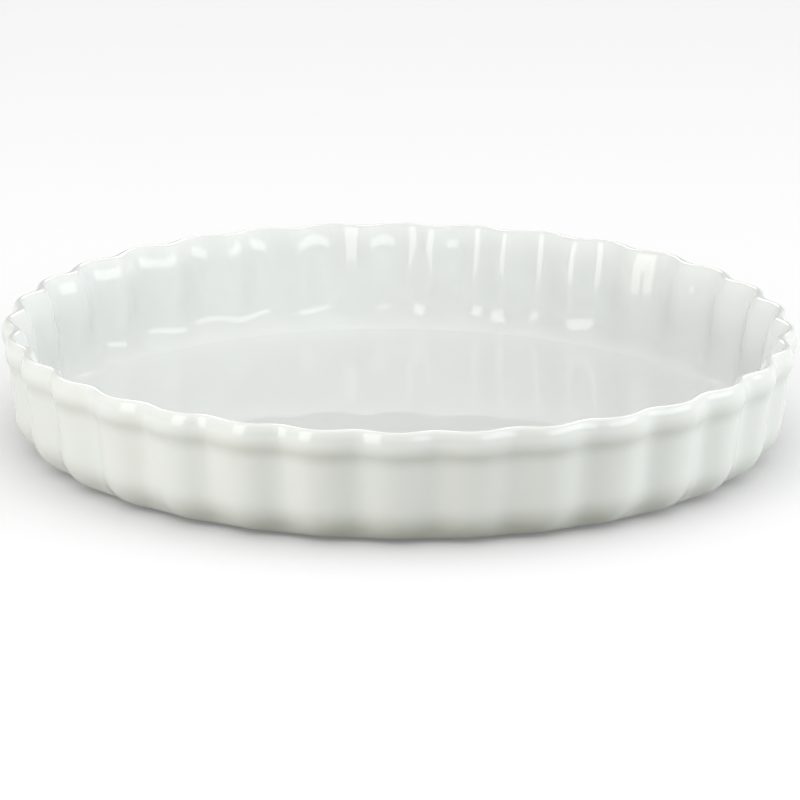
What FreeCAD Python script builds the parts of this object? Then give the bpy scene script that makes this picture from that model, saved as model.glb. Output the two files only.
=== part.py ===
# Fluted quiche dish: a stoneware baking dish with a scalloped wall, an overhanging lip and a dry foot ring.
# The fired body carries one glaze coat over its wall, rim and floor, and a second one under its base.
# Millimetres, +Z up. The origin is the centre of the plane that the foot ring stands on.
import FreeCAD
import Part

import math
import os

# The dish as a whole, measured over the glaze
RIM_DIAMETER = 280.0
HEIGHT = 42.5
GLAZE_THICKNESS = 0.4

# Flutes: lobes side by side round the wall, each with a broad crest between two tighter valleys.
# The shares say how far a crest and a valley run on, within half a flute, before the wall turns away.
# They hold at the rim: with every millimetre in from it, crests get tighter and valleys broader by a share,
# which keeps the draft the same on a crest, a flank and a valley.
# Inside, the flutes keep their depth down to the fade height and are lower at the floor's corner.
# Outside, they fade out along the part of the base corner that turns under the dish.
FLUTE_COUNT = 32
FLUTE_DEPTH = 2.8
INNER_FLUTE_DEPTH = 3.8
LOW_FLUTE_DEPTH = 2.0
FADE_HEIGHT = 26.0
BASE_FADE_DEGREES = 50.0
CREST_REACH_SHARE = 0.46
VALLEY_REACH_SHARE = 0.3
CREST_TIGHTENING_SHARE = 0.01
VALLEY_BROADENING_SHARE = 0.007

# Lip: a rounded face outside over the neck, a narrow ridge on top, and a flare down to the inner wall
LIP_DROP = 5.0
LIP_OVERHANG = 2.2
FACE_RADIUS = 9.5
RIDGE_RADIUS = 1.4
FLARE_RADIUS = 22.0
FLARE_DEGREES = 32.0
SHOULDER_RADIUS = 9.5
NECK_RADIUS = 14.0

# Wall: a draft on both sides, rounded corners at the base and the floor
WALL_DRAFT_DEGREES = 5.7
INNER_DRAFT_DEGREES = 10.2
BASE_CORNER_RADIUS = 15.0
INNER_CORNER_RADIUS = 9.5

# Floor, and the foot ring under it
FLOOR_THICKNESS = 4.7
FOOT_HEIGHT = 1.2
FOOT_WIDTH = 5.0
FOOT_SETBACK = 2.5
FOOT_EDGE_RADIUS = 0.4
BARE_MARGIN = 1.5

# The wall's surface is cubic: no span of it turns further along the profile than one step
SECTION_STEP_DEGREES = 45.0
SAME_PLACE = 0.001
CUBIC = 3
FLUTE_KNOTS = [0.0, 0.5, 1.0]

PITCH_DEGREES = 360.0 / FLUTE_COUNT
HALF_PITCH = math.radians(PITCH_DEGREES) / 2
DRAFT = math.radians(WALL_DRAFT_DEGREES)
INNER_DRAFT = math.radians(INNER_DRAFT_DEGREES)
FLARE = math.radians(FLARE_DEGREES)
BASE_FADE = math.radians(BASE_FADE_DEGREES)
RIM_RADIUS = RIM_DIAMETER / 2
UP = FreeCAD.Vector(0, 0, 1)
CENTRE = FreeCAD.Vector(0, 0, 0)


def at(radius, angle, height):
    """A point by its radius, its angle about the dish's axis and its height."""
    return FreeCAD.Vector(radius * math.cos(angle), radius * math.sin(angle), height)


def facing(angle):
    """The direction at an angle in the plane of the profile, as its radius and height."""
    return math.cos(angle), math.sin(angle)


def beside(point, direction, distance):
    """The profile point that lies a distance from another, along a direction."""
    return point[0] + direction[0] * distance, point[1] + direction[1] * distance


def radius_at(height, point, square_to):
    """The radius at which the line through a point, square to a direction, passes a height."""
    return point[0] - (height - point[1]) * square_to[1] / square_to[0]


def profile_arcs():
    """The arcs of the crest profile over the glaze, from under the base round the lip to the floor.

    Each is its centre, its radius, which is negative where the wall is hollow, the angles that the
    surface faces at its two ends, and the flutes' depths there. Straight runs join the arcs and are
    tangent to both. The fade is a place on the inner wall's run, an arc with no radius and no turn.
    """
    down, wall, side, up = -math.pi / 2, -DRAFT, 0.0, math.pi / 2
    fading = down + BASE_FADE
    flared, inside = math.pi - FLARE, math.pi - INNER_DRAFT

    face = (RIM_RADIUS - FACE_RADIUS, HEIGHT - LIP_DROP)
    over_lip = math.asin((LIP_DROP - RIDGE_RADIUS) / (FACE_RADIUS - RIDGE_RADIUS))
    ridge = beside(face, facing(over_lip), FACE_RADIUS - RIDGE_RADIUS)
    flare = beside(ridge, facing(flared), RIDGE_RADIUS - FLARE_RADIUS)

    shoulder = (RIM_RADIUS - SHOULDER_RADIUS, HEIGHT - LIP_DROP)
    neck_span = SHOULDER_RADIUS + NECK_RADIUS
    under_lip = -math.acos((SHOULDER_RADIUS + NECK_RADIUS * math.cos(DRAFT) - LIP_OVERHANG) / neck_span)
    neck = beside(shoulder, facing(under_lip), neck_span)

    base_height = FOOT_HEIGHT - GLAZE_THICKNESS + BASE_CORNER_RADIUS
    base_line = beside(neck, facing(wall), -NECK_RADIUS - BASE_CORNER_RADIUS)
    base = (radius_at(base_height, base_line, facing(wall)), base_height)

    fade_line = beside(flare, facing(inside), FLARE_RADIUS)
    fade = (radius_at(FADE_HEIGHT, fade_line, facing(inside)), FADE_HEIGHT)
    floor_height = FOOT_HEIGHT + FLOOR_THICKNESS + GLAZE_THICKNESS + INNER_CORNER_RADIUS
    floor_line = beside(fade, facing(inside), INNER_CORNER_RADIUS)
    floor = (radius_at(floor_height, floor_line, facing(inside)), floor_height)

    return [
        (base, BASE_CORNER_RADIUS, down, fading, 0, FLUTE_DEPTH),
        (base, BASE_CORNER_RADIUS, fading, wall, FLUTE_DEPTH, FLUTE_DEPTH),
        (neck, -NECK_RADIUS, wall, under_lip, FLUTE_DEPTH, FLUTE_DEPTH),
        (shoulder, SHOULDER_RADIUS, under_lip, side, FLUTE_DEPTH, FLUTE_DEPTH),
        (face, FACE_RADIUS, side, over_lip, FLUTE_DEPTH, FLUTE_DEPTH),
        (ridge, RIDGE_RADIUS, over_lip, flared, FLUTE_DEPTH, INNER_FLUTE_DEPTH),
        (flare, FLARE_RADIUS, flared, inside, INNER_FLUTE_DEPTH, INNER_FLUTE_DEPTH),
        (fade, 0, inside, inside, INNER_FLUTE_DEPTH, INNER_FLUTE_DEPTH),
        (floor, -INNER_CORNER_RADIUS, inside, up, LOW_FLUTE_DEPTH, 0),
    ]


def eased(share):
    """A share from 0 to 1 that leaves 0 and reaches 1 level, and its slope."""
    return share * share * (3 - 2 * share), 6 * share * (1 - share)


def along(place, direction, distance):
    """The place a distance on from another, along a direction."""
    return tuple(value + rate * distance for value, rate in zip(place, direction))


def stations(inset):
    """Stations along each arc of the crest profile, set in from the glaze's surface, a step of turn apart.

    Each is the length of the span that leads to it, as a cubic curve has it, its place and its direction,
    the last two as radius, height and flute depth. An arc that starts where the last one ended leaves
    that station out.
    """
    arcs = []
    for centre, radius, first, last, first_depth, last_depth in profile_arcs():
        steps = math.ceil(math.degrees(abs(last - first)) / SECTION_STEP_DEGREES)
        turn = (last - first) / max(steps, 1)
        span = 4 * abs(radius - inset) * math.tan(abs(turn) / 4)
        deepening = last_depth - first_depth
        arc = []
        for step in range(steps + 1):
            share, slope = eased(step / max(steps, 1))
            angle = first + turn * step
            place = (*beside(centre, facing(angle), radius - inset), first_depth + deepening * share)
            rate = deepening * slope / (span * steps) if deepening else 0
            arc.append((span, place, (*facing(angle + math.pi / 2), rate)))
        if arcs:
            run = math.dist(arcs[-1][-1][1][:2], arc[0][1][:2])
            arc[:1] = [(run, *arc[0][1:])] if run > SAME_PLACE else []
        arcs.append(arc)
    return arcs


def flute_poles(radius, height, depth):
    """The poles of one flute in plan, valley to valley: two cubic curves that flow together at the crest."""
    half_width = radius * HALF_PITCH
    crest_share = CREST_REACH_SHARE - CREST_TIGHTENING_SHARE * (RIM_RADIUS - radius)
    valley_share = VALLEY_REACH_SHARE + VALLEY_BROADENING_SHARE * (RIM_RADIUS - radius)
    crest = at(radius, 0, height) + at(1, math.pi / 2, 0) * (half_width * crest_share)
    valley = at(radius - depth, HALF_PITCH, height)
    turn = valley - at(1, math.pi / 2 + HALF_PITCH, 0) * (half_width * valley_share)
    half = [crest, turn, valley]
    return [FreeCAD.Vector(pole.x, -pole.y, pole.z) for pole in reversed(half)] + half


def flute_edge(place):
    """One flute's edge at a place on the profile."""
    curve = Part.BSplineCurve()
    curve.buildFromPolesMultsKnots(flute_poles(*place), doubled(FLUTE_KNOTS), FLUTE_KNOTS, False, CUBIC)
    return curve.toShape()


def doubled(knots):
    """The multiplicities of a row of cubic spans that flow into each other."""
    return [CUBIC + 1] + [CUBIC - 1] * (len(knots) - 2) + [CUBIC + 1]


def flute_face(profile):
    """One flute's surface: its plan carried along the profile, in spans that flow into each other."""
    rows, knots = [profile[0][1]], [0.0]
    for (_, start, leaving), (length, end, arriving) in zip(profile, profile[1:]):
        rows += [along(start, leaving, length / CUBIC), along(end, arriving, -length / CUBIC)]
        knots.append(knots[-1] + length)
    rows.append(profile[-1][1])
    surface = Part.BSplineSurface()
    surface.buildFromPolesMultsKnots(
        list(zip(*[flute_poles(*row) for row in rows])), doubled(FLUTE_KNOTS), doubled(knots),
        FLUTE_KNOTS, knots, False, False, CUBIC, CUBIC)
    return surface.toShape()


def round_the_dish(shape):
    """A copy of the shape for each flute."""
    return [shape.rotated(CENTRE, UP, PITCH_DEGREES * flute) for flute in range(FLUTE_COUNT)]


def fluted_skin(inset):
    """The fluted surface at an inset, with its edges under the base and on the floor.

    Each flute has a face outside, one over the lip and one inside.
    """
    under, base, neck, shoulder, face, ridge, flare, fade, floor = stations(inset)
    outside = under + base + neck + shoulder + face
    lip = face[-1:] + ridge
    inside = ridge[-1:] + flare + fade + floor
    skin = [copy for part in (outside, lip, inside) for copy in round_the_dish(flute_face(part))]
    return skin, *[round_the_dish(flute_edge(end[1])) for end in (under[0], floor[-1])]


def enclosed(faces):
    """The solid that a closed set of faces encloses."""
    shell = Part.makeShell(faces)
    shell.sewShape()
    solid = Part.makeSolid(shell)
    if solid.Volume < 0:
        solid.reverse()
    return solid


def foot_outer_radius():
    """The foot ring stands in from the end of the base corner."""
    return stations(GLAZE_THICKNESS)[0][0][1][0] - FOOT_SETBACK


def foot_section(outer):
    """The foot ring's outline, from its outer side round its standing face to the base panel's middle."""
    inner, edge = outer - FOOT_WIDTH, FOOT_EDGE_RADIUS
    outer_bend = at(outer - edge, 0, edge) + at(1, 0, -1).normalize() * edge
    inner_bend = at(inner + edge, 0, edge) + at(-1, 0, -1).normalize() * edge
    outline = [
        Part.LineSegment(at(outer, 0, FOOT_HEIGHT), at(outer, 0, edge)),
        Part.Arc(at(outer, 0, edge), outer_bend, at(outer - edge, 0, 0)),
        Part.LineSegment(at(outer - edge, 0, 0), at(inner + edge, 0, 0)),
        Part.Arc(at(inner + edge, 0, 0), inner_bend, at(inner, 0, edge)),
        Part.LineSegment(at(inner, 0, edge), at(inner, 0, FOOT_HEIGHT)),
        Part.LineSegment(at(inner, 0, FOOT_HEIGHT), at(0, 0, FOOT_HEIGHT)),
    ]
    return Part.Wire([line.toShape() for line in outline])


def stoneware_body():
    """The fired body: the fluted wall, the floor inside it, and the bare underside with its foot ring."""
    skin, base_edges, floor_edges = fluted_skin(GLAZE_THICKNESS)
    outer = foot_outer_radius()
    foot = foot_section(outer).revolve(CENTRE, UP, 360)
    foot_circle = Part.Circle(at(0, 0, FOOT_HEIGHT), UP, outer).toShape()
    underside = Part.makeFace([Part.Wire(base_edges), Part.Wire(foot_circle)], "Part::FaceMakerBullseye")
    floor = Part.Face(Part.Wire(floor_edges))
    return enclosed(skin + [floor, underside] + foot.Faces)


def glaze_coat():
    """The main coat: from its edge under the base up the wall, over the rim and down onto the floor."""
    surface, surface_edges, surface_floor = fluted_skin(0)
    seat, seat_edges, seat_floor = fluted_skin(GLAZE_THICKNESS)
    edge = [Part.makeRuledSurface(low, high) for low, high in zip(surface_edges, seat_edges)]
    floors = [Part.Face(Part.Wire(edges)) for edges in (surface_floor, seat_floor)]
    return enclosed(surface + seat + edge + floors)


def base_glaze():
    """The coat under the base: a thin disc inside the foot ring, with a bare margin round it."""
    radius = foot_outer_radius() - FOOT_WIDTH - BARE_MARGIN
    return Part.makeCylinder(radius, GLAZE_THICKNESS, at(0, 0, FOOT_HEIGHT - GLAZE_THICKNESS), UP)


os.makedirs("parts", exist_ok=True)
for make in (stoneware_body, glaze_coat, base_glaze):
    make().exportStep(f"parts/{make.__name__}.step")
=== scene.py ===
import bpy
import numpy as np
from mathutils import Matrix, Vector


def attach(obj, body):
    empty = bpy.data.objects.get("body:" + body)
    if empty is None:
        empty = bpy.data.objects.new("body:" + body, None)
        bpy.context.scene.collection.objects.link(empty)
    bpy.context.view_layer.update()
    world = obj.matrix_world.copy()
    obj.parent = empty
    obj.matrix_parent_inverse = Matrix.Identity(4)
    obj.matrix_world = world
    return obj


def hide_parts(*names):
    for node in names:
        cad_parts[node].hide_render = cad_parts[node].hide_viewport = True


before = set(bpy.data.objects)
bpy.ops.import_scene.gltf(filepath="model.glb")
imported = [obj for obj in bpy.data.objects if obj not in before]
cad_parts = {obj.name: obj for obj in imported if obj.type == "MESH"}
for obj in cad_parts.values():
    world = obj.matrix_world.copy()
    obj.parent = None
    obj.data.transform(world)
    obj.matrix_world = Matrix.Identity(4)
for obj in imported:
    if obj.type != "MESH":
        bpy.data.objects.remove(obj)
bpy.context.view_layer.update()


# Stoneware body
# Fine buff clay pressed in a fluted mould and fired hard. It gives the dish its form, but all that shows of
# it is the foot ring and a narrow band on each side, wiped clean of glaze so that the dish leaves the kiln.
MM = 0.001
CLAY_HEX = "D9CDBA"
CLAY_TOASTED_HEX = "C6B197"
CLAY_FLECK_HEX = "8D7459"
CLAY_GRIT_SIZE = 0.45 * MM
CLAY_GRIT_DEPTH = 0.08 * MM
CLAY_GRIT_STRENGTH = 0.5
CLAY_FLECK_SPACING = 1.6 * MM
CLAY_FLECK_SHARE = {"From Min": 0.08, "From Max": 0.16, "To Min": 0.7, "To Max": 0.0}
CLAY_TOASTING_SIZE = 34.0 * MM
CLAY_ROUGHNESS = 0.85
CLAY_IOR = 1.5
MIX_SHARE, MIX_FIRST, MIX_SECOND, MIXED = 0, 6, 7, 2


def to_linear(hex_colour):
    """An sRGB hex colour as linear red, green, blue and alpha."""
    srgb = np.array([int(hex_colour[i:i + 2], 16) for i in (0, 2, 4)]) / 255
    linear = np.where(srgb <= 0.04045, srgb / 12.92, ((srgb + 0.055) / 1.055) ** 2.4)
    return (*linear.tolist(), 1.0)


def add_node(tree, kind, settings=(), links=()):
    """Adds one node. Settings are its properties or its sockets' values, links are its sockets' sources."""
    node = tree.nodes.new(kind)
    for name, value in dict(settings).items():
        if isinstance(name, str) and hasattr(node, name):
            setattr(node, name, value)
        else:
            node.inputs[name].default_value = value
    for name, source in dict(links).items():
        tree.links.new(source, node.inputs[name])
    return node


def new_material(name):
    """An empty material with nodes, and its tree."""
    material = bpy.data.materials.new(name)
    material.use_nodes = True
    material.node_tree.nodes.clear()
    return material, material.node_tree


# Bare fired stoneware: matte, slightly sandy, toasted in places, with sparse brown flecks of iron
bare_stoneware, tree = new_material("bare_fired_stoneware")
place = add_node(tree, "ShaderNodeTexCoord").outputs["Object"]
grit = add_node(
    tree, "ShaderNodeTexNoise", {"Scale": 1 / CLAY_GRIT_SIZE, "Detail": 2.0}, {"Vector": place})
fleck = add_node(tree, "ShaderNodeTexVoronoi", {"Scale": 1 / CLAY_FLECK_SPACING}, {"Vector": place})
toasting = add_node(tree, "ShaderNodeTexNoise", {"Scale": 1 / CLAY_TOASTING_SIZE}, {"Vector": place})
toasted = add_node(
    tree, "ShaderNodeMix",
    {"data_type": "RGBA", MIX_FIRST: to_linear(CLAY_HEX), MIX_SECOND: to_linear(CLAY_TOASTED_HEX)},
    {MIX_SHARE: toasting.outputs["Fac"]})
fleck_share = add_node(
    tree, "ShaderNodeMapRange", CLAY_FLECK_SHARE, {"Value": fleck.outputs["Distance"]})
flecked = add_node(
    tree, "ShaderNodeMix", {"data_type": "RGBA", MIX_SECOND: to_linear(CLAY_FLECK_HEX)},
    {MIX_SHARE: fleck_share.outputs["Result"], MIX_FIRST: toasted.outputs[MIXED]})
sandy = add_node(
    tree, "ShaderNodeBump", {"Strength": CLAY_GRIT_STRENGTH, "Distance": CLAY_GRIT_DEPTH},
    {"Height": grit.outputs["Fac"]})
clay = add_node(
    tree, "ShaderNodeBsdfPrincipled", {"Roughness": CLAY_ROUGHNESS, "IOR": CLAY_IOR},
    {"Base Color": flecked.outputs[MIXED], "Normal": sandy.outputs["Normal"]})
add_node(tree, "ShaderNodeOutputMaterial", links={"Surface": clay.outputs["BSDF"]})
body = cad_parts["stoneware_body"]
body.data.materials.clear()
body.data.materials.append(bare_stoneware)


# Glaze coat
# White glaze, 0.4 mm of it, poured over the fired body: one skin from its edge under the base, up the outside,
# over the lip, down the inside and over the floor. It melts smooth, thins on edges and pools in hollows.
RIM_RADIUS = 140.0 * MM
HEIGHT = 42.5 * MM
GLAZE = 0.4 * MM
FLUTES = 32
FLUTE_DEPTH = 2.8 * MM
INNER_FLUTE_DEPTH = 3.8 * MM
LOW_FLUTE_DEPTH = 2.0 * MM
FADE_HEIGHT = 26.0 * MM
BASE_FADE = np.radians(50.0)
CREST_REACH = 0.46
VALLEY_REACH = 0.30
CREST_TIGHTENING = 0.010 / MM
VALLEY_BROADENING = 0.007 / MM
WIDEST_SET_IN = 20.0 * MM
RIDGE_RADIUS = 1.4 * MM
FACE_RADIUS = 9.5 * MM
FLARE_RADIUS = 22.0 * MM
FLARE = np.radians(32.0)
LIP_DROP = 5.0 * MM
LIP_OVERHANG = 2.2 * MM
SHOULDER_RADIUS = 9.5 * MM
NECK_RADIUS = 14.0 * MM
WALL_DRAFT = np.radians(5.7)
INNER_DRAFT = np.radians(10.2)
BASE_RADIUS = 15.0 * MM
INNER_CORNER = 9.5 * MM
UNDERSIDE = 0.8 * MM
FLOOR_TOP = 6.3 * MM

# How finely the skin is drawn: steps along each arc of the profile and along the run that leads to it, the
# share of them on the hidden side that lies on the clay, and steps over the floor, the edge and half a flute
ARC_STEPS = (10, 6, 7, 8, 7, 16, 8, 0, 16)
RUN_STEPS = (0, 0, 6, 0, 0, 0, 0, 5, 8)
SEAT_FINENESS = 0.3
FLOOR_STEPS = 8
EDGE_STEPS = 4
HALF_FLUTE_STEPS = 10
SAME_PLACE = 0.0001 * MM

# How the melt settles: the curvature that empties or fills it, and the waves that it dries with
EVEN_THICKNESS = 0.5
GATHERING_LENGTH = 2.5 * MM
WAVE_SEED = 7
WAVE_COUNT = 40
WAVE_LENGTHS = (9.0 * MM, 24.0 * MM)
WAVE_DEPTH = 0.05 * MM


def facing(angle):
    """The direction at an angle in the plane of the profile: radius and height."""
    return np.array([np.cos(angle), np.sin(angle)])


def eased(share):
    """A share from 0 to 1 that leaves 0 and reaches 1 level: 3t^2 - 2t^3."""
    return share * share * (3 - 2 * share)


def crest_profile(inset, fineness):
    """The profile through a crest, set in by a distance, from the base's edge over the lip to the floor.

    Arcs joined by straight runs that are tangent to them: base corner, hollow neck, shoulder, lip face, ridge,
    flare and hollow inner corner. Each row is radius, height and flute depth; where the depth changes along an
    arc or a run, and where it fades to nothing at both corners, it does so by the eased share.
    """
    face = np.array([RIM_RADIUS - FACE_RADIUS, HEIGHT - LIP_DROP])
    face_end = np.arcsin((LIP_DROP - RIDGE_RADIUS) / (FACE_RADIUS - RIDGE_RADIUS))
    ridge = face + facing(face_end) * (FACE_RADIUS - RIDGE_RADIUS)
    flare = ridge - facing(np.pi - FLARE) * (FLARE_RADIUS - RIDGE_RADIUS)

    shoulder = np.array([RIM_RADIUS - SHOULDER_RADIUS, HEIGHT - LIP_DROP])
    neck_span = SHOULDER_RADIUS + NECK_RADIUS
    neck_reach = SHOULDER_RADIUS + NECK_RADIUS * np.cos(WALL_DRAFT) - LIP_OVERHANG
    under_lip = -np.arccos(neck_reach / neck_span)
    neck = shoulder + facing(under_lip) * neck_span

    on_wall = neck - facing(-WALL_DRAFT) * (NECK_RADIUS + BASE_RADIUS)
    base_height = UNDERSIDE + BASE_RADIUS
    base = np.array([on_wall[0] + (base_height - on_wall[1]) * np.tan(WALL_DRAFT), base_height])

    fade = flare + facing(np.pi - INNER_DRAFT) * FLARE_RADIUS
    fade = np.array([fade[0] + (FADE_HEIGHT - fade[1]) * np.tan(INNER_DRAFT), FADE_HEIGHT])
    on_inside = flare + facing(np.pi - INNER_DRAFT) * (FLARE_RADIUS + INNER_CORNER)
    corner_height = FLOOR_TOP + INNER_CORNER
    corner = np.array([on_inside[0] + (corner_height - on_inside[1]) * np.tan(INNER_DRAFT), corner_height])

    down, fading, wall, side, up = -np.pi / 2, BASE_FADE - np.pi / 2, -WALL_DRAFT, 0, np.pi / 2
    flared, inside = np.pi - FLARE, np.pi - INNER_DRAFT
    arcs = [
        (base, BASE_RADIUS, down, fading, 0, FLUTE_DEPTH),
        (base, BASE_RADIUS, fading, wall, FLUTE_DEPTH, FLUTE_DEPTH),
        (neck, -NECK_RADIUS, wall, under_lip, FLUTE_DEPTH, FLUTE_DEPTH),
        (shoulder, SHOULDER_RADIUS, under_lip, side, FLUTE_DEPTH, FLUTE_DEPTH),
        (face, FACE_RADIUS, side, face_end, FLUTE_DEPTH, FLUTE_DEPTH),
        (ridge, RIDGE_RADIUS, face_end, flared, FLUTE_DEPTH, INNER_FLUTE_DEPTH),
        (flare, FLARE_RADIUS, flared, inside, INNER_FLUTE_DEPTH, INNER_FLUTE_DEPTH),
        (fade, 0, inside, inside, INNER_FLUTE_DEPTH, INNER_FLUTE_DEPTH),
        (corner, -INNER_CORNER, inside, up, LOW_FLUTE_DEPTH, 0),
    ]
    rows = []
    for arc, arc_steps, run_steps in zip(arcs, ARC_STEPS, RUN_STEPS):
        centre, radius, first, last, first_depth, last_depth = arc
        share = np.linspace(0, 1, max(1, round(arc_steps * fineness)) + 1)[:, None]
        line = centre + (radius - inset) * facing(first + (last - first) * share[:, 0]).T
        arc_rows = np.hstack([line, first_depth + (last_depth - first_depth) * eased(share)])
        if rows:
            start, end = rows[-1][-1], arc_rows[0]
            share = np.linspace(0, 1, round(run_steps * fineness) + 2)[1:-1, None]
            rows.append(start + (end - start) * np.hstack([share, share, eased(share)]))
        rows.append(arc_rows)
    rows = np.vstack(rows)
    apart = np.linalg.norm(np.diff(rows[:, :2], axis=0), axis=1) > SAME_PLACE
    return rows[np.r_[True, apart]]


def fluted(rows):
    """Carries profile rows round the dish as points [row, column, xyz].

    Half a flute in plan is a cubic Bezier curve from the crest to the valley, level at both ends; how far it
    runs on at each end is a share of half the flute's width. The half is mirrored and repeated.
    """
    radius, height, depth = [column[:, None] for column in rows.T]
    half = np.pi / FLUTES
    set_in = np.minimum(RIM_RADIUS - radius, WIDEST_SET_IN)
    crest_reach = radius * half * (CREST_REACH - CREST_TIGHTENING * set_in)
    valley_reach = radius * half * (VALLEY_REACH + VALLEY_BROADENING * set_in)
    valley_x, valley_y = (radius - depth) * np.cos(half), (radius - depth) * np.sin(half)
    turning_x, turning_y = valley_x + np.sin(half) * valley_reach, valley_y - np.cos(half) * valley_reach
    t = np.linspace(0, 1, HALF_FLUTE_STEPS + 1)[None]
    at_crest, near_crest = (1 - t) ** 3, 3 * (1 - t) ** 2 * t
    near_valley, at_valley = 3 * (1 - t) * t * t, t ** 3
    x = (at_crest + near_crest) * radius + near_valley * turning_x + at_valley * valley_x
    y = near_crest * crest_reach + near_valley * turning_y + at_valley * valley_y
    reach, turn = np.hypot(x, y), np.arctan2(y, x)
    reach = np.hstack([reach[:, :-1], reach[:, :0:-1]])
    turn = np.hstack([turn[:, :-1], 2 * half - turn[:, :0:-1]])
    turn = (turn[:, None] + 2 * half * np.arange(FLUTES)[None, :, None]).reshape(len(rows), -1)
    reach = np.tile(reach, (1, FLUTES))
    height = np.broadcast_to(height, reach.shape)
    return np.stack([reach * np.cos(turn), reach * np.sin(turn), height], axis=2)


def bending(points, outward, axis):
    """How far points bulge past their neighbours along one axis of the rings, as a curvature: 2h / (a b)."""
    before, after = np.roll(points, 1, axis) - points, np.roll(points, -1, axis) - points
    back, ahead = np.linalg.norm(before, axis=2), np.linalg.norm(after, axis=2)
    towards = before / back[..., None] + after / ahead[..., None]
    return -2 * (towards * outward).sum(axis=2) / (back + ahead)


def add_closed_shell(name, points, first_pole, last_pole):
    """A mesh from rings of points, with a pole at each end. Faces point to the right of the rings' order."""
    rings, columns = points.shape[:2]
    index = np.arange(rings * columns).reshape(rings, columns)
    after = np.roll(index, -1, axis=1)
    quads = np.stack([index[:-1], after[:-1], after[1:], index[1:]], axis=2).reshape(-1, 4)
    poles = rings * columns + np.arange(2)
    first = np.stack([np.full(columns, poles[0]), after[0], index[0]], axis=1)
    last = np.stack([np.full(columns, poles[1]), index[-1], after[-1]], axis=1)
    corners = np.concatenate([quads.ravel(), first.ravel(), last.ravel()])
    sizes = np.concatenate([np.full(len(quads), 4), np.full(2 * columns, 3)])
    mesh = bpy.data.meshes.new(name)
    mesh.vertices.add(rings * columns + 2)
    mesh.vertices.foreach_set("co", np.vstack([points.reshape(-1, 3), first_pole, last_pole]).ravel())
    mesh.loops.add(len(corners))
    mesh.loops.foreach_set("vertex_index", corners)
    mesh.polygons.add(len(sizes))
    mesh.polygons.foreach_set("loop_start", np.concatenate([[0], np.cumsum(sizes)[:-1]]))
    mesh.polygons.foreach_set("use_smooth", np.ones(len(sizes), bool))
    mesh.update(calc_edges=True)
    mesh.validate()
    piece = bpy.data.objects.new(name, mesh)
    bpy.context.scene.collection.objects.link(piece)
    return piece


# The skin's rows in order: over the floor, over the lip, round the edge under the base, and back along the clay
surface_rows = crest_profile(0, 1.0)[::-1]
seat_rows = crest_profile(GLAZE, SEAT_FINENESS)
floor_share = np.linspace(0, 1, FLOOR_STEPS + 1)[1:-1, None]
floor_rows = np.hstack([
    surface_rows[0, 0] * floor_share, np.full_like(floor_share, FLOOR_TOP), np.zeros_like(floor_share)])
seat_floor_rows = floor_rows[::-2] * [seat_rows[-1, 0] / surface_rows[0, 0], 1, 1] - [0, GLAZE, 0]
bead = np.linspace(0, np.pi, EDGE_STEPS + 1)[1:-1, None]
edge_rows = np.hstack([
    surface_rows[-1, 0] - GLAZE / 2 * np.sin(bead), UNDERSIDE + GLAZE / 2 * (1 - np.cos(bead)),
    np.zeros_like(bead)])
coat_rows = np.vstack([floor_rows, surface_rows, edge_rows, seat_rows, seat_floor_rows])
coat_points = fluted(coat_rows)
along_ring = np.roll(coat_points, -1, axis=1) - np.roll(coat_points, 1, axis=1)
outward = np.cross(along_ring, np.gradient(coat_points, axis=0))
outward /= -np.linalg.norm(outward, axis=2, keepdims=True)

# The melt draws away from ridges and gathers in hollows: thickness goes down with the mean curvature
curvature = (bending(coat_points, outward, 0) + bending(coat_points, outward, 1)) / 2
thickness = np.clip(EVEN_THICKNESS - curvature * GATHERING_LENGTH, 0, 1)
thickness[[0, -1]] = EVEN_THICKNESS

# It dries a little wavy: cosine waves with drawn directions and lengths, summed, set in from the true surface
draw = np.random.default_rng(WAVE_SEED)
heading = draw.normal(size=(WAVE_COUNT, 3))
heading /= np.linalg.norm(heading, axis=1, keepdims=True)
waves = 2 * np.pi * heading / draw.uniform(*WAVE_LENGTHS, size=(WAVE_COUNT, 1))
swell = np.cos(coat_points @ waves.T + draw.uniform(0, 2 * np.pi, WAVE_COUNT)).mean(axis=2)
swell = WAVE_DEPTH * (swell - swell.max()) / np.ptp(swell)
shown = np.arange(len(coat_rows)) < len(floor_rows) + len(surface_rows)
coat_points = coat_points + outward * (swell * shown[:, None])[..., None]
coat = add_closed_shell("glaze_coat_skin", coat_points, (0, 0, FLOOR_TOP), (0, 0, FLOOR_TOP - GLAZE))
per_point = coat.data.attributes.new("thickness", "FLOAT", "POINT")
at_poles = [EVEN_THICKNESS, EVEN_THICKNESS]
per_point.data.foreach_set("value", np.append(thickness.ravel(), at_poles).astype(np.float32))

# Gloss white glaze: a clear hard gloss over white, a shade warmer where it is thin and cooler where it is thick
GLAZE_HEX = "EFF2F0"
GLAZE_THIN_HEX = "ECEAE3"
GLAZE_THICK_HEX = "F1F4F3"
GLAZE_IOR = 1.54
GLAZE_CLOUD_SIZE = 26.0 * MM
GLAZE_THIN_SHARE = {"From Min": 0.4, "From Max": 0.0, "To Min": 0.0, "To Max": 0.35}
GLAZE_THICK_SHARE = {"From Min": 0.5, "From Max": 0.9, "To Min": 0.0, "To Max": 1.0}
GLAZE_CLOUD_SHARE = {"From Min": 0.3, "From Max": 0.7, "To Min": 0.0, "To Max": 0.25}
GLAZE_ROUGHNESS = {"From Min": 0.3, "From Max": 0.7, "To Min": 0.02, "To Max": 0.045}
white_glaze, tree = new_material("gloss_white_glaze")
place = add_node(tree, "ShaderNodeTexCoord").outputs["Object"]
thick = add_node(tree, "ShaderNodeAttribute", {"attribute_name": "thickness"}).outputs["Fac"]
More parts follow.
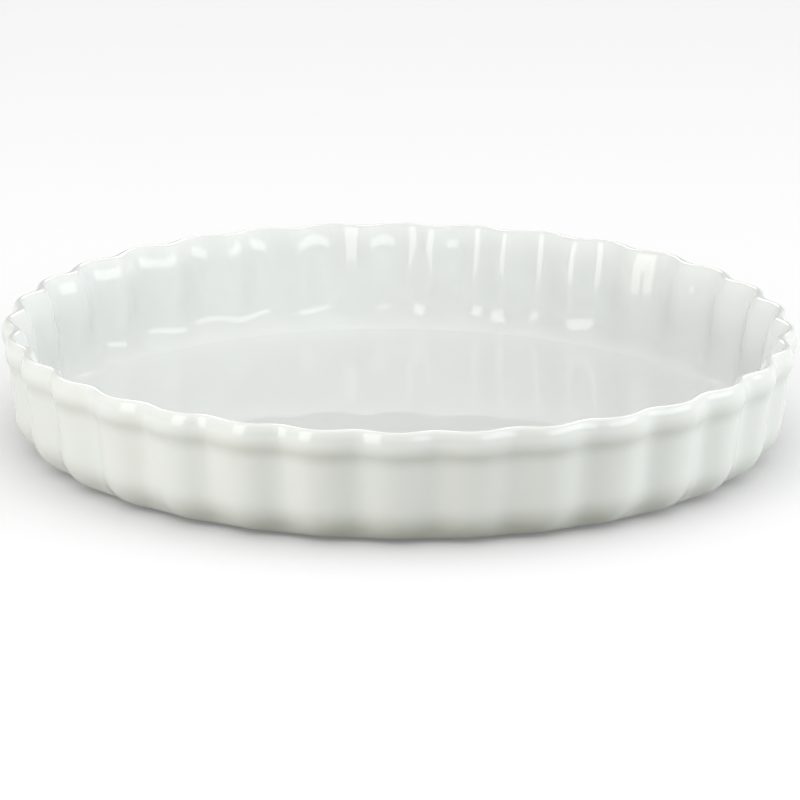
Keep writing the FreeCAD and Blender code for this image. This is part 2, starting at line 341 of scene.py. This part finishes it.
cloud = add_node(
    tree, "ShaderNodeTexNoise", {"Scale": 1 / GLAZE_CLOUD_SIZE, "Detail": 3.0},
    {"Vector": place}).outputs["Fac"]
thin_share = add_node(tree, "ShaderNodeMapRange", GLAZE_THIN_SHARE, {"Value": thick})
thick_share = add_node(tree, "ShaderNodeMapRange", GLAZE_THICK_SHARE, {"Value": thick})
cloud_share = add_node(tree, "ShaderNodeMapRange", GLAZE_CLOUD_SHARE, {"Value": cloud})
polish = add_node(tree, "ShaderNodeMapRange", GLAZE_ROUGHNESS, {"Value": cloud})
pooled = add_node(
    tree, "ShaderNodeMix",
    {"data_type": "RGBA", MIX_FIRST: to_linear(GLAZE_HEX), MIX_SECOND: to_linear(GLAZE_THICK_HEX)},
    {MIX_SHARE: thick_share.outputs["Result"]})
warmth = add_node(
    tree, "ShaderNodeMath", {"operation": "MAXIMUM"},
    {0: thin_share.outputs["Result"], 1: cloud_share.outputs["Result"]})
white = add_node(
    tree, "ShaderNodeMix", {"data_type": "RGBA", MIX_SECOND: to_linear(GLAZE_THIN_HEX)},
    {MIX_SHARE: warmth.outputs["Value"], MIX_FIRST: pooled.outputs[MIXED]})
gloss = add_node(
    tree, "ShaderNodeBsdfPrincipled", {"IOR": GLAZE_IOR},
    {"Base Color": white.outputs[MIXED], "Roughness": polish.outputs["Result"]})
add_node(tree, "ShaderNodeOutputMaterial", links={"Surface": gloss.outputs["BSDF"]})
coat.data.materials.append(white_glaze)
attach(coat, "root")
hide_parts("glaze_coat")


# Base glaze
# The same glaze, brushed as a disc 0.4 mm thick on the recessed panel under the base, and wiped back from the
# foot ring. Its edge is a half-round bead, and its radius falls short by cosine waves, as a wiped edge does.
BASE_GLAZE_RADIUS = 112.4 * MM
BASE_GLAZE_WAVES = [(5, 0.20 * MM, 0.4), (9, 0.16 * MM, 2.1), (17, 0.09 * MM, 4.4)]
BASE_GLAZE_COLUMNS = 360
BASE_GLAZE_RINGS = 6
BASE_GLAZE_BEAD_POINTS = 9
turn = np.linspace(0, 2 * np.pi, BASE_GLAZE_COLUMNS, endpoint=False)
wiped = sum(size * (1 + np.cos(count * turn + start)) for count, size, start in BASE_GLAZE_WAVES)
bead = np.linspace(np.pi / 2, -np.pi / 2, BASE_GLAZE_BEAD_POINTS)
rings = np.linspace(BASE_GLAZE_RADIUS, GLAZE, BASE_GLAZE_RINGS)[1:]
inward = np.concatenate([rings, GLAZE / 2 * (1 - np.cos(bead)), rings[-2::-1]])
rise = np.concatenate([np.ones(len(rings)), np.sin(bead), -np.ones(len(rings) - 1)])
reach = (BASE_GLAZE_RADIUS - wiped) * (1 - inward / BASE_GLAZE_RADIUS)[:, None]
height = np.broadcast_to((UNDERSIDE + GLAZE / 2 * (1 + rise))[:, None], reach.shape)
disc = np.stack([reach * np.cos(turn), reach * np.sin(turn), height], axis=2)
base_coat = add_closed_shell("base_glaze_skin", disc, (0, 0, UNDERSIDE + GLAZE), (0, 0, UNDERSIDE))
base_coat.data.materials.append(white_glaze)
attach(base_coat, "root")
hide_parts("base_glaze")


# Table
# A plain white sweep that the dish stands on. Seen by the camera or in the gloss, most of its white is a glow
# of its own
# with a painted shadow: the glow is less where the dish closes it in, so that open table is white and the
# dish's soft shadow shows, partly lit by the lamps and partly painted.
TABLE_SIDE = 12.0
TABLE_HEX = "898978"
TABLE_WHITE_HEX = "B6B6B6"
TABLE_GLOW_UNDER_PAINTED_SHADOW = 0.15
TABLE_GLOW_TAKEN_BY_PAINTED_SHADOW = 0.46
TABLE_PAINTED_SHADOW_REACH = 0.15
TABLE_PAINTED_SHADOW_SAMPLES = 8
WHITE = (1, 1, 1, 1)
side = TABLE_SIDE / 2
mesh = bpy.data.meshes.new("table")
mesh.from_pydata([(-side, -side, 0), (side, -side, 0), (side, side, 0), (-side, side, 0)], [], [(0, 1, 2, 3)])
table = bpy.data.objects.new("table", mesh)
bpy.context.scene.collection.objects.link(table)

# Matte white paper: no gloss. For eyes and mirrors it glows white with a painted shadow near the dish, and a
# duller colour lights the dish
table_white, tree = new_material("matte_white_table")
ray = add_node(tree, "ShaderNodeLightPath").outputs
seen = add_node(
    tree, "ShaderNodeMath", {"operation": "ADD"}, {0: ray["Is Camera Ray"], 1: ray["Is Glossy Ray"]})
seen = add_node(
    tree, "ShaderNodeMath", {"operation": "ADD", "use_clamp": True},
    {0: seen.outputs["Value"], 1: ray["Is Transmission Ray"]}).outputs["Value"]
# Painted shadow: ambient occlusion near the dish takes glow away from the table, on top of the lamps' real
# shadow on its paint
painted_shadow_openness = add_node(
    tree, "ShaderNodeAmbientOcclusion", {"samples": TABLE_PAINTED_SHADOW_SAMPLES, "Distance": TABLE_PAINTED_SHADOW_REACH})
glow_with_painted_shadow = add_node(
    tree, "ShaderNodeMath", {"operation": "MULTIPLY_ADD", 1: TABLE_GLOW_TAKEN_BY_PAINTED_SHADOW, 2: TABLE_GLOW_UNDER_PAINTED_SHADOW},
    {0: painted_shadow_openness.outputs["AO"]})
seen_glow_with_painted_shadow = add_node(
    tree, "ShaderNodeMath", {"operation": "MULTIPLY"}, {0: glow_with_painted_shadow.outputs["Value"], 1: seen})
paint = add_node(
    tree, "ShaderNodeMix",
    {"data_type": "RGBA", MIX_FIRST: to_linear(TABLE_HEX), MIX_SECOND: to_linear(TABLE_WHITE_HEX)},
    {MIX_SHARE: seen})
matte = add_node(
    tree, "ShaderNodeBsdfPrincipled",
    {"Roughness": 1.0, "Specular IOR Level": 0.0, "Emission Color": WHITE},
    {"Base Color": paint.outputs[MIXED], "Emission Strength": seen_glow_with_painted_shadow.outputs["Value"]})
add_node(tree, "ShaderNodeOutputMaterial", links={"Surface": matte.outputs["BSDF"]})
mesh.materials.append(table_white)


# Studio light
# A dim room, brighter behind and on the right. The gloss mirrors soft boxes, tall on the left and low on the
# right, and one behind that only draws the thin line along the lip's ridge. Low strips at both sides shape the
# flutes, and broad lights in front and overhead light the rest.
ROOM_LEVEL = 0.305
ROOM_BEHIND = 0.24
ROOM_RIGHT = 0.16
DISH = (0.0, 0.0, 0.04)
WALL = (0.0, 0.0, 0.03)
LEVEL = (0.0, 0.0, 0.68)

# Each lamp's name, place, width, height, radiance, aim, tint and role: it lights the dish, is mirrored, or both
SOFT_BOXES = [
    ("left_box", (-0.83, -0.88, 0.68), 0.50, 1.32, 2.9, LEVEL, "FFFEFA", "both"),
    ("right_box", (1.06, -0.55, 0.44), 1.50, 0.40, 2.4, DISH, "F8FDFF", "both"),
    ("rim_box", (0.0, 1.45, 1.0), 1.2, 0.65, 3.6, DISH, "FFFFFF", "mirrored"),
    ("left_strip", (-1.352, -0.362, 0.07), 1.2, 0.12, 16.2, WALL, "FFFFFF", "lights"),
    ("right_strip", (1.40, 0.05, 0.07), 1.2, 0.12, 17.4, WALL, "FAFDFF", "lights"),
    ("front_light", (-0.1, -1.6, 1.4), 1.6, 0.8, 3.15, DISH, "FFFFFF", "lights"),
    ("top_light", (0.0, 0.0, 1.5), 1.2, 1.2, 1.3, DISH, "FFFFFF", "lights"),
]
for name, at, width, height, radiance, aim, tint, role in SOFT_BOXES:
    lamp = bpy.data.lights.new(name, "AREA")
    lamp.shape = "RECTANGLE"
    lamp.size, lamp.size_y = width, height
    lamp.energy = radiance * np.pi * width * height
    lamp.color = to_linear(tint)[:3]
    box = bpy.data.objects.new(name, lamp)
    bpy.context.scene.collection.objects.link(box)
    box.location = at
    box.rotation_euler = (Vector(aim) - Vector(at)).to_track_quat("-Z", "Y").to_euler()
    box.visible_glossy = role != "lights"
    box.visible_diffuse = role != "mirrored"
world = bpy.data.worlds.new("white_room")
bpy.context.scene.world = world
world.use_nodes = True
tree = world.node_tree
tree.nodes.clear()
place = add_node(tree, "ShaderNodeTexCoord").outputs["Object"]
rise = add_node(
    tree, "ShaderNodeVectorMath", {"operation": "DOT_PRODUCT", 1: (ROOM_RIGHT, ROOM_BEHIND, 0.0)}, {0: place})
level = add_node(tree, "ShaderNodeMath", {"operation": "ADD", 1: ROOM_LEVEL}, {0: rise.outputs["Value"]})
room = add_node(tree, "ShaderNodeBackground", {"Color": WHITE}, {"Strength": level.outputs["Value"]})
add_node(tree, "ShaderNodeOutputWorld", links={"Surface": room.outputs["Background"]})


# Camera
# A long lens, low in front of the dish and level but for a slight tilt, as the photograph was taken. Its length
# in pixels of the square frame, its place and its aim were solved from the rim's and the base's outlines.
EYE = (0.0113, -2.5940, 0.7643)
AIM = (0.00040, -0.0074, 0.01630)
TILT = np.radians(0.56)
SENSOR_MM = 36.0
FRAME_PIXELS = 800
LENS_PIXELS = 7654.3
lens = bpy.data.cameras.new("camera")
lens.sensor_width = SENSOR_MM
lens.lens = LENS_PIXELS / FRAME_PIXELS * SENSOR_MM
lens.clip_end = 100.0
camera = bpy.data.objects.new("camera", lens)
bpy.context.scene.collection.objects.link(camera)
aimed = (Vector(AIM) - Vector(EYE)).to_track_quat("-Z", "Y").to_matrix().to_4x4()
camera.matrix_world = Matrix.Translation(EYE) @ aimed @ Matrix.Rotation(TILT, 4, "Z")
bpy.context.scene.camera = camera
bpy.context.scene.view_settings.view_transform = "Standard"
